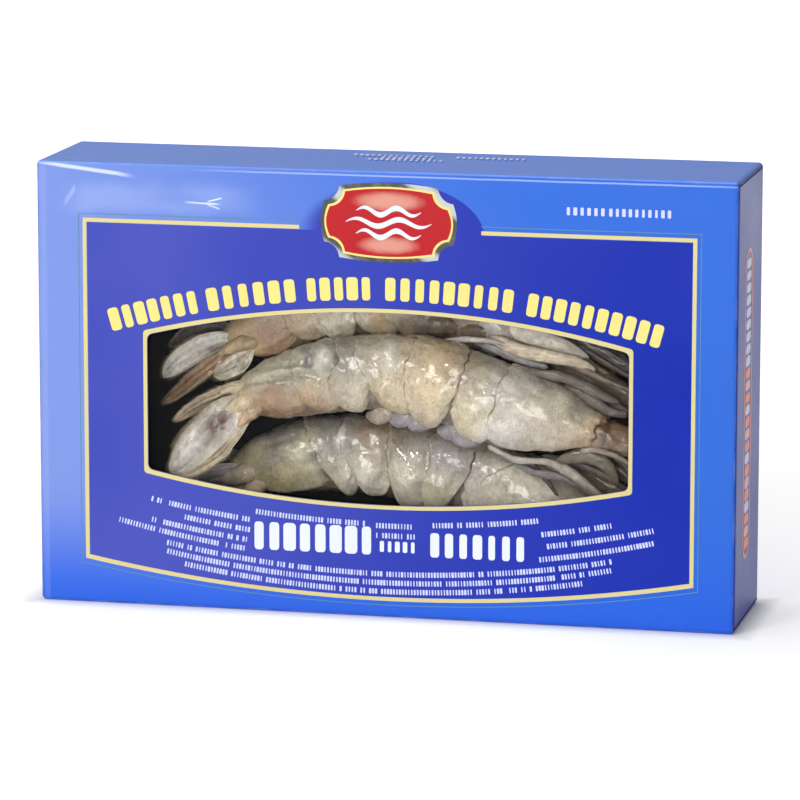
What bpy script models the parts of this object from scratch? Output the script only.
"""A shut freezer carton of raw tiger prawns with a shaped window in its front panel.

The carton stands upright on its long bottom panel. X runs along its width, the window looks
towards -Y and Z is up. The origin is the centre of the face it stands on. A clear film is glued
behind the window, and three whole prawns lie one above another behind the film, tails to -X and
heads to +X, their backs upwards. Sizes are in metres, and MM turns millimetres into metres.
"""

import math

import bmesh
import bpy
from mathutils import Vector

MM = 0.001

# Driving sizes of the carton.
CARTON_WIDTH = 270 * MM
CARTON_DEPTH = 58 * MM
CARTON_HEIGHT = 171 * MM
BOARD = 0.6 * MM
END_WALL = 1.2 * MM
FOLD_RADIUS = 1.8 * MM
FRONT_Y = -CARTON_DEPTH / 2
FIT_GAP = 0.3 * MM

# The slots round the free edges of the two glued end flaps.
SLOT_WIDTH = 0.7 * MM
SLOT_DEPTH = 0.6 * MM
SLOT_INSET = 1.5 * MM

# The window: straight sides, an arched top and a sagging bottom, with rounded corners. The
# print and the window sit a little to the right of the panel's middle.
WINDOW_MIDDLE = 1.4 * MM
WINDOW_HALF_WIDTH = 93 * MM
WINDOW_SIDE_LOW = 53.6 * MM
WINDOW_SIDE_HIGH = 105.4 * MM
WINDOW_RISE = 11.8 * MM
WINDOW_SAG = 10.1 * MM
WINDOW_CORNER = 2.2 * MM
WINDOW_ARC_STEPS = 20

FILM_THICKNESS = 0.25 * MM
FILM_OVERLAP = 9 * MM

# One prawn's body, measured along its back line from the root of the tail fan, in millimetres.
ABDOMEN_LENGTHS = (24, 12, 14, 16.5, 19.5, 15.5)
ABDOMEN = sum(ABDOMEN_LENGTHS)
CARAPACE_END = ABDOMEN + 40
FACE_END = CARAPACE_END + 14
# Each row: distance along the back line, height above it, depth below it, half width.
GIRTH = (
    (0, 7.2, 7.8, 5.5),
    (10, 11.3, 12.4, 7.6),
    (24, 14.2, 13.6, 9.2),
    (45, 14.6, 14.0, 10.4),
    (60, 14.4, 14.8, 11.0),
    (76, 15.8, 17.0, 11.6),
    (90, 14.6, 16.4, 11.6),
    (102, 14.6, 17.6, 11.9),
    (111, 14.6, 17.4, 12.0),
    (120, 13.2, 14.8, 11.4),
    (132, 10.4, 10.4, 9.4),
    (141.5, 6.6, 6.0, 7.2),
    (150, 7.2, 5.8, 6.2),
    (156, 4.4, 4.2, 4.0),
)
SHELL_STEP = 0.7
RING_POINTS = 16
RINGS_IN_PLATE = (0.0, 0.15, 0.55, 1.0)
PLATE_GAP = 0.35

# Each tail blade: spread from the middle in degrees, length, step to the side, lean, half width.
TAIL_BLADES = (
    (-17, 34, 2.9, 7, 5.2),
    (-8, 40, 1.4, 3, 5.8),
    (1, 33, 0.1, -2, 3.6),
    (9, 41, -1.3, -7, 5.9),
    (18, 36, -2.8, -11, 5.3),
)
FAN_THICKNESS = 1.3
LEG_ROOTS = (106, 113, 120, 127, 133)
SWIMMERET_SEGMENTS = (1, 2, 3, 4, 5)


# ---------------------------------------------------------------- small helpers


def clear_scene():
    """Leave nothing in the scene but what this script makes."""
    for item in list(bpy.data.objects):
        bpy.data.objects.remove(item, do_unlink=True)


def plain_material(name, colour, roughness, metallic=0.0):
    """A material with one Principled shader."""
    material = bpy.data.materials.new(name)
    material.use_nodes = True
    shader = material.node_tree.nodes["Principled BSDF"]
    shader.inputs["Base Color"].default_value = (*colour, 1.0)
    shader.inputs["Roughness"].default_value = roughness
    shader.inputs["Metallic"].default_value = metallic
    return material


def object_from(mesh_builder, name):
    """Link an object whose mesh is written from a bmesh, and free the bmesh."""
    mesh = bpy.data.meshes.new(name)
    mesh_builder.to_mesh(mesh)
    mesh_builder.free()
    made = bpy.data.objects.new(name, mesh)
    bpy.context.collection.objects.link(made)
    return made


def as_guide(item):
    """Mark an object that only cuts or joins another, so it isn't a piece itself."""
    item.hide_render = True
    item.display_type = "WIRE"
    return item


def boolean(target, tool, operation):
    """Add an exact Boolean of one tool to the target."""
    modifier = target.modifiers.new(operation.lower(), "BOOLEAN")
    modifier.operation = operation
    modifier.object = tool
    modifier.solver = "EXACT"


def block(name, low, high):
    """A box between two corners."""
    builder = bmesh.new()
    bmesh.ops.create_cube(builder, size=1.0)
    centre = (Vector(low) + Vector(high)) / 2
    size = Vector(high) - Vector(low)
    for vertex in builder.verts:
        vertex.co = Vector(a * b for a, b in zip(vertex.co, size)) + centre
    return object_from(builder, name)


def ease(value, low, high):
    """0 below low, 1 above high and a smooth turn between them."""
    share = min(1.0, max(0.0, (value - low) / (high - low)))
    return share * share * (3 - 2 * share)


# ---------------------------------------------------------------- carton


def window_outline():
    """Points round the window as (x, z), from its lower left corner, anticlockwise."""
    points = []
    for step in range(WINDOW_ARC_STEPS + 1):
        across = -1 + 2 * step / WINDOW_ARC_STEPS
        sag = WINDOW_SAG * (1 - across * across)
        points.append((WINDOW_MIDDLE + across * WINDOW_HALF_WIDTH, WINDOW_SIDE_LOW - sag))
    for step in range(WINDOW_ARC_STEPS + 1):
        across = 1 - 2 * step / WINDOW_ARC_STEPS
        rise = WINDOW_RISE * (1 - across * across)
        points.append((WINDOW_MIDDLE + across * WINDOW_HALF_WIDTH, WINDOW_SIDE_HIGH + rise))
    return points


def window_cutter():
    """The window as a prism that runs through the front panel, with its four corners rounded."""
    builder = bmesh.new()
    outline = window_outline()
    near_y = FRONT_Y - 2 * MM
    ring = [builder.verts.new((x, near_y, z)) for x, z in outline]
    last = WINDOW_ARC_STEPS
    corners = [ring[0], ring[last], ring[last + 1], ring[-1]]
    face = builder.faces.new(ring)
    bmesh.ops.bevel(
        builder, geom=corners, offset=WINDOW_CORNER, segments=4, affect="VERTICES", profile=0.5
    )
    face = builder.faces[:][0]
    swept = bmesh.ops.extrude_face_region(builder, geom=[face])
    moved = [item for item in swept["geom"] if isinstance(item, bmesh.types.BMVert)]
    bmesh.ops.translate(builder, verts=moved, vec=(0, 4 * MM, 0))
    bmesh.ops.recalc_face_normals(builder, faces=builder.faces)
    return as_guide(object_from(builder, "guide.window"))


def end_slots(side):
    """Three thin cutters along the top, bottom and back edges of one end flap."""
    outer = side * (CARTON_WIDTH / 2 + MM)
    inner = side * (CARTON_WIDTH / 2 - SLOT_DEPTH)
    low_x, high_x = min(outer, inner), max(outer, inner)
    near_y = FRONT_Y + FOLD_RADIUS
    far_y = -FRONT_Y - SLOT_INSET
    low_z = SLOT_INSET
    high_z = CARTON_HEIGHT - SLOT_INSET
    spans = (
        (near_y, far_y, high_z - SLOT_WIDTH, high_z),
        (near_y, far_y, low_z, low_z + SLOT_WIDTH),
        (far_y - SLOT_WIDTH, far_y + 0.1 * MM, low_z, high_z),
    )
    for number, (y0, y1, z0, z1) in enumerate(spans):
        name = f"guide.slot_{'right' if side > 0 else 'left'}_{number}"
        yield as_guide(block(name, (low_x, y0, z0), (high_x, y1, z1)))


def build_carton(material):
    """The folded board: a shell with soft folds, an arched window and seamed end flaps."""
    half_width = CARTON_WIDTH / 2
    carton = block(
        "carton",
        (-half_width, FRONT_Y, 0),
        (half_width, -FRONT_Y, CARTON_HEIGHT),
    )
    builder = bmesh.new()
    builder.from_mesh(carton.data)
    bmesh.ops.bevel(
        builder, geom=builder.edges[:], offset=FOLD_RADIUS, segments=3, affect="EDGES", profile=0.5
    )
    builder.to_mesh(carton.data)
    builder.free()
    cavity = as_guide(
        block(
            "guide.cavity",
            (-half_width + END_WALL, FRONT_Y + BOARD, BOARD),
            (half_width - END_WALL, -FRONT_Y - BOARD, CARTON_HEIGHT - BOARD),
        )
    )
    boolean(carton, cavity, "DIFFERENCE")
    boolean(carton, window_cutter(), "DIFFERENCE")
    for side in (-1, 1):
        for slot in end_slots(side):
            boolean(carton, slot, "DIFFERENCE")
    carton.data.materials.append(material)
    return carton


def build_film(material):
    """The clear sheet that closes the window from behind."""
    near_y = FRONT_Y + BOARD + FIT_GAP
    half_width = WINDOW_HALF_WIDTH + FILM_OVERLAP
    low_z = WINDOW_SIDE_LOW - WINDOW_SAG - FILM_OVERLAP
    high_z = WINDOW_SIDE_HIGH + WINDOW_RISE + FILM_OVERLAP
    film = block(
        "window_film",
        (WINDOW_MIDDLE - half_width, near_y, low_z),
        (WINDOW_MIDDLE + half_width, near_y + FILM_THICKNESS, high_z),
    )
    film.data.materials.append(material)
    return film


# ---------------------------------------------------------------- prawn


def to_world(spot):
    """From millimetres, with Y as the depth behind the front panel, to the carton's frame."""
    return Vector((spot.x * MM, FRONT_Y + spot.y * MM, spot.z * MM))


class BackLine:
    """A smooth line along a prawn's middle, walked in millimetres from tail to head."""

    def __init__(self, points, depth, scale):
        self.depth = depth
        self.scale = scale
        self.samples = []
        self.lengths = [0.0]
        padded = [
            (2 * points[0][0] - points[1][0], 2 * points[0][1] - points[1][1]),
            *points,
            (2 * points[-1][0] - points[-2][0], 2 * points[-1][1] - points[-2][1]),
        ]
        for index in range(len(points) - 1):
            for step in range(12):
                self.samples.append(self._spline(padded[index : index + 4], step / 12))
        self.samples.append(Vector(points[-1]))
        for first, second in zip(self.samples, self.samples[1:]):
            self.lengths.append(self.lengths[-1] + (second - first).length)

    @staticmethod
    def _spline(four, share):
        """A point between the middle two of four points of a Catmull-Rom spline."""
        p0, p1, p2, p3 = (Vector(p) for p in four)
        square = share * share
        cube = square * share
        return 0.5 * (
            2 * p1
            + (p2 - p0) * share
            + (2 * p0 - 5 * p1 + 4 * p2 - p3) * square
            + (3 * p1 - p0 - 3 * p2 + p3) * cube
        )

    def _flat(self, distance):
        """The point in the XZ plane at a distance, straight on past either end."""
        lengths = self.lengths
        index = 0
        while index < len(lengths) - 2 and lengths[index + 1] < distance:
            index += 1
        share = (distance - lengths[index]) / (lengths[index + 1] - lengths[index])
        return self.samples[index].lerp(self.samples[index + 1], share)

    def frame(self, distance):
        """The point and the forward, side and up directions at a body distance."""
        along = distance * self.scale
        middle = self._flat(along)
        ahead = (self._flat(along + 2) - self._flat(along - 2)).normalized()
        forward = Vector((ahead.x, 0, ahead.y))
        side = Vector((0, -1, 0))
        return Vector((middle.x, self.depth, middle.y)), forward, side, side.cross(forward)

    def place(self, distance, side, up):
        """A world point from a distance along, a step to the side and a step up."""
        point, _, side_way, up_way = self.frame(distance)
        return to_world(point + (side_way * side + up_way * up) * self.scale)


def girth_at(distance):
    """Height above, depth below and half width of the body at a distance along it."""
    for low, high in zip(GIRTH, GIRTH[1:]):
        if distance <= high[0]:
            share = (distance - low[0]) / (high[0] - low[0])
            share = share * share * (3 - 2 * share) * 0.4 + share * 0.6
            return [a + (b - a) * share for a, b in zip(low[1:], high[1:])]
    return list(GIRTH[-1][1:])


def body_stations():
    """Every ring as (distance, swell, lobe): plates stand proud at their rear edge."""
    stations = []
    start = 0.0
    for length in ABDOMEN_LENGTHS:
        for share in RINGS_IN_PLATE:
            swell = SHELL_STEP * (0.5 - share)
            lobe = math.sin(math.pi * min(1.0, max(0.0, 0.08 + 0.84 * share))) ** 0.7
            stations.append((start + PLATE_GAP + (length - PLATE_GAP) * share, swell, lobe))
        start += length
    stations.append((ABDOMEN + PLATE_GAP, 1.3 * SHELL_STEP, 0.9))
    for share in (0.1, 0.24, 0.4, 0.56, 0.7, 0.82, 0.92, 1.0):
        stations.append((ABDOMEN + (CARAPACE_END - ABDOMEN) * share, SHELL_STEP * 0.6, 1.0))
    for share in (0.03, 0.4, 0.75, 1.0):
        stations.append((CARAPACE_END + (FACE_END - CARAPACE_END) * share, -0.6, 1.0))
    return stations


def ring_point(angle, above, below, half_width, lobe):
    """A point of a body ring. The sides hang a little lower than the belly between them."""
    side = math.sin(angle)
    rise = math.cos(angle)
    if rise >= 0:
        return half_width * side, above * rise
    reach = (-rise) ** 0.72
    hollow = 0.2 * ease(-rise, 0.8, 1.0)
    depth = below * (0.8 + 0.2 * lobe) * reach * (1 - hollow)
    return half_width * math.copysign(abs(side) ** 0.85, side) * (1 - 0.12 * reach), -depth


def build_body(line, name):
    """The lofted body with its plates' rear edges standing proud like roof tiles."""
    builder = bmesh.new()
    rings = []
    for distance, swell, lobe in body_stations():
        above, below, half_width = girth_at(distance)
        ring = []
        for index in range(RING_POINTS):
            angle = 2 * math.pi * (index + 0.5) / RING_POINTS
            side, up = ring_point(angle, above + swell, below + swell, half_width + swell, lobe)
            ring.append(builder.verts.new(line.place(distance, side, up)))
        rings.append(ring)
    for first, second in zip(rings, rings[1:]):
        for index in range(RING_POINTS):
            following = (index + 1) % RING_POINTS
            builder.faces.new(
                (first[index], first[following], second[following], second[index])
            )
    builder.faces.new(rings[0][::-1])
    builder.faces.new(rings[-1])
    bmesh.ops.recalc_face_normals(builder, faces=builder.faces)
    return object_from(builder, name)


def rod(name, points, radii, sides=6):
    """A closed tapered rod through world points, with a radius in mm at each of them."""
    builder = bmesh.new()
    rings = []
    for index, (point, radius) in enumerate(zip(points, radii)):
        before = points[max(0, index - 1)]
        after = points[min(len(points) - 1, index + 1)]
        along = (after - before).normalized()
        first = along.cross(Vector((0.13, 1, 0.21))).normalized()
        second = along.cross(first)
        ring = []
        for turn in range(sides):
            angle = 2 * math.pi * turn / sides
            offset = first * math.cos(angle) + second * math.sin(angle)
            ring.append(builder.verts.new(point + offset * radius * MM))
        rings.append(ring)
    for low, high in zip(rings, rings[1:]):
        for turn in range(sides):
            following = (turn + 1) % sides
            builder.faces.new((low[turn], low[following], high[following], high[turn]))
    builder.faces.new(rings[0][::-1])
    builder.faces.new(rings[-1])
    bmesh.ops.recalc_face_normals(builder, faces=builder.faces)
    return as_guide(object_from(builder, name))


def blade(name, line, fan_turn, spread, length, side_shift, tilt, half_width):
    """One tail blade: a leaf that starts inside the body and points back and down."""
    point, forward, side_way, up_way = line.frame(1.0)
    turn = math.radians(fan_turn + spread)
    back = -forward * math.cos(turn) - up_way * math.sin(turn)
    flat_across = side_way.cross(back).normalized()
    lean = math.radians(tilt)
    across = flat_across * math.cos(lean) + side_way * math.sin(lean)
    through = side_way * math.cos(lean) - flat_across * math.sin(lean)
    builder = bmesh.new()
    rings = []
    for share in (0.0, 0.14, 0.35, 0.6, 0.82, 0.95):
        width = half_width * (0.3 + 0.7 * math.sin(math.pi * min(1.0, 0.12 + 0.8 * share)))
        thick = FAN_THICKNESS * (1 - 0.55 * share)
        middle = side_way * side_shift + back * (length * share - 3)
        ring = []
        for turn_index in range(8):
            angle = 2 * math.pi * turn_index / 8
            offset = across * math.cos(angle) * width + through * math.sin(angle) * thick
            ring.append(builder.verts.new(to_world(point + (middle + offset) * line.scale)))
        rings.append(ring)
    for low, high in zip(rings, rings[1:]):
        for index in range(8):
            following = (index + 1) % 8
            builder.faces.new((low[index], low[following], high[following], high[index]))
    builder.faces.new(rings[0][::-1])
    builder.faces.new(rings[-1])
    bmesh.ops.recalc_face_normals(builder, faces=builder.faces)
    return as_guide(object_from(builder, name))


def tail_fan(name, line, fan_turn):
    """The middle spike and two pairs of blades, folded nearly shut."""
    for number, (spread, length, shift, tilt, width) in enumerate(TAIL_BLADES):
        yield blade(
            f"guide.{name}_fan_{number}", line, fan_turn, spread, length, shift, tilt, width
        )


def rostrum(name, line):
    """The spike that runs forwards from the top of the carapace."""
    spots = (
        (CARAPACE_END - 24, 10.5),
        (CARAPACE_END - 6, 8.2),
        (FACE_END - 2, 8.6),
        (FACE_END + 10, 11.0),
    )
    points = [line.place(distance, 0, up) for distance, up in spots]
    return rod(f"guide.{name}_rostrum", points, (1.6, 1.6, 1.2, 0.4), sides=6)


def eyes(name, line):
    """Two round eyes on short stalks, one on each side of the face."""
    for side in (-1, 1):
        points = [
            line.place(CARAPACE_END + 1, side * 3.4, 3.0),
            line.place(CARAPACE_END + 4, side * 6.0, 3.6),
            line.place(CARAPACE_END + 6, side * 7.2, 3.9),
            line.place(CARAPACE_END + 8, side * 8.0, 4.1),
            line.place(CARAPACE_END + 9.6, side * 8.4, 4.2),
        ]
        yield rod(f"guide.{name}_eye_{side}", points, (1.4, 1.5, 2.6, 2.6, 1.2), sides=8)


def legs(name, line):
    """Five pairs of walking legs, folded forwards under the head."""
    for number, root in enumerate(LEG_ROOTS):
        below = girth_at(root)[1]
        for side in (-1, 1):
            points = [
                line.place(root, side * 4.5, -below * 0.72),
                line.place(root + 6, side * 6.2, -below - 2.0),
                line.place(root + 17, side * 5.8, -below - 4.2 + 0.5 * number),
                line.place(root + 27 - number, side * 4.8, -below - 5.0 + 0.9 * number),
            ]
            yield rod(f"guide.{name}_leg_{number}_{side}", points, (1.7, 1.4, 1.1, 0.6), sides=5)


def swimmerets(name, line):
    """A flat paddle under each of the first five tail plates, on both sides."""
    edges = [sum(ABDOMEN_LENGTHS[:index]) for index in range(len(ABDOMEN_LENGTHS))]
    for number in SWIMMERET_SEGMENTS:
        middle = edges[number] + ABDOMEN_LENGTHS[number] / 2
        below = girth_at(middle)[1]
        for side in (-1, 1):
            points = [
                line.place(middle + 2, side * 4.0, -below * 0.6),
                line.place(middle, side * 4.6, -below - 0.6),
                line.place(middle - 5, side * 4.2, -below - 2.4),
            ]
            yield rod(f"guide.{name}_paddle_{number}_{side}", points, (1.9, 1.7, 0.7), sides=5)


def build_prawn(name, line, fan_turn, material):
    """One whole prawn as a single solid: its body with everything that grows from it joined on."""
    prawn = build_body(line, name)
    extras = [*tail_fan(name, line, fan_turn), rostrum(name, line)]
    extras += [*eyes(name, line), *legs(name, line), *swimmerets(name, line)]
    for extra in extras:
        boolean(prawn, extra, "UNION")
    prawn.data.materials.append(material)
    return prawn


# For each prawn: its middle line in mm as (x, z) from tail root to face, its depth behind the
# front panel in mm, its size beside the middle prawn's and the tail fan's downward turn.
PRAWNS = (
    (
        "prawn_top",
        (
            (-66, 98),
            (-52, 105),
            (-38, 111),
            (-20, 115),
            (-2, 117),
            (16, 117),
            (36, 113.5),
            (54, 107),
            (72, 99),
            (96, 88),
        ),
        35.5,
        1.0,
        26,
    ),
    (
        "prawn_middle",
        (
            (-57, 79.5),
            (-44, 84),
            (-20, 89),
            (3, 91),
            (25, 87.8),
            (43, 81.8),
            (66, 76),
            (93, 67),
        ),
        15.5,
        1.0,
        27,
    ),
    (
        "prawn_bottom",
        (
            (-63, 46.5),
            (-50, 51),
            (-34, 54),
            (-12, 54.6),
            (10, 52.2),
            (33, 46.4),
            (58, 38.5),
            (88, 28),
        ),
        35.5,
        1.07,
        24,
    ),
)


def main():
    clear_scene()
    board = plain_material("printed_board", (0.06, 0.17, 0.72), 0.35)
    film = plain_material("clear_film", (0.9, 0.93, 0.95), 0.08)
    shell = plain_material("raw_prawn", (0.62, 0.54, 0.43), 0.3)
    build_carton(board)
    build_film(film)
    for name, points, depth, scale, fan_turn in PRAWNS:
        build_prawn(name, BackLine(points, depth, scale), fan_turn, shell)


main()
